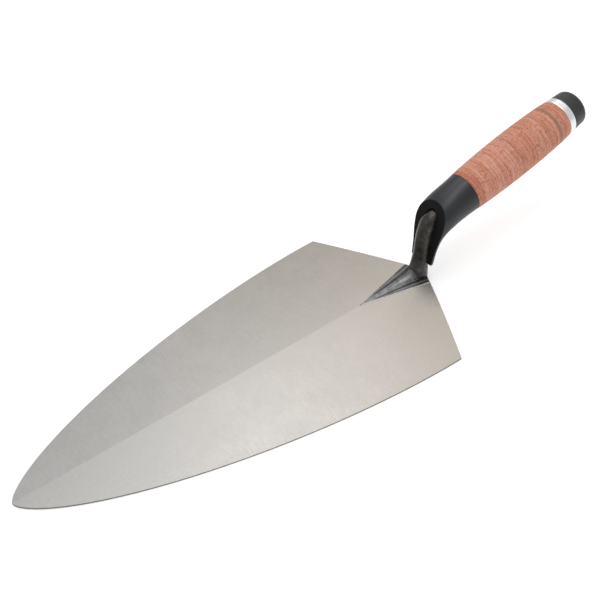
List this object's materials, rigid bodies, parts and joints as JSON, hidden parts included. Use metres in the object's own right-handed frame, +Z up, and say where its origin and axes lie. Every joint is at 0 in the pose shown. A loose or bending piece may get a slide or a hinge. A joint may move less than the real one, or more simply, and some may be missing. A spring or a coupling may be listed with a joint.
{
  "type": "brick trowel",
  "caption": "Brick trowel: one-piece forged steel blade, shank and tang with a stacked leather washer handle, plastic finger guard, aluminium ring and end cap.",
  "frame": {"origin": "middle of the heel edge, on the flat underside of the blade", "axes": "+X from the heel to the blade's tip, +Y across the blade, +Z up from the underside; the handle goes to -X and rises"},
  "size_m": [0.4059, 0.1398, 0.0822],
  "materials": {
    "forged_steel": "fine ground faces, dark forging scale on the root and shank",
    "guard_plastic": "satin black moulded plastic",
    "stacked_leather": "sanded and lacquered leather edges",
    "aluminium_ring": "turned and polished",
    "plated_steel": "zinc plated",
    "cap_plastic": "satin black moulded plastic"
  },
  "bodies": {
    "root": {"forging": "forged_steel", "finger_guard": "guard_plastic", "leather_washer_01": "stacked_leather", "leather_washer_02": "stacked_leather", "leather_washer_03": "stacked_leather", "leather_washer_04": "stacked_leather", "leather_washer_05": "stacked_leather", "leather_washer_06": "stacked_leather", "leather_washer_07": "stacked_leather", "leather_washer_08": "stacked_leather", "leather_washer_09": "stacked_leather", "leather_washer_10": "stacked_leather", "leather_washer_11": "stacked_leather", "leather_washer_12": "stacked_leather", "leather_washer_13": "stacked_leather", "leather_washer_14": "stacked_leather", "leather_washer_15": "stacked_leather", "leather_washer_16": "stacked_leather", "leather_washer_17": "stacked_leather", "leather_washer_18": "stacked_leather", "leather_washer_19": "stacked_leather", "leather_washer_20": "stacked_leather", "end_ring": "aluminium_ring", "clamp_washer": "plated_steel", "tang_nut": "plated_steel", "end_cap": "cap_plastic"}
  },
  "joints": []
}
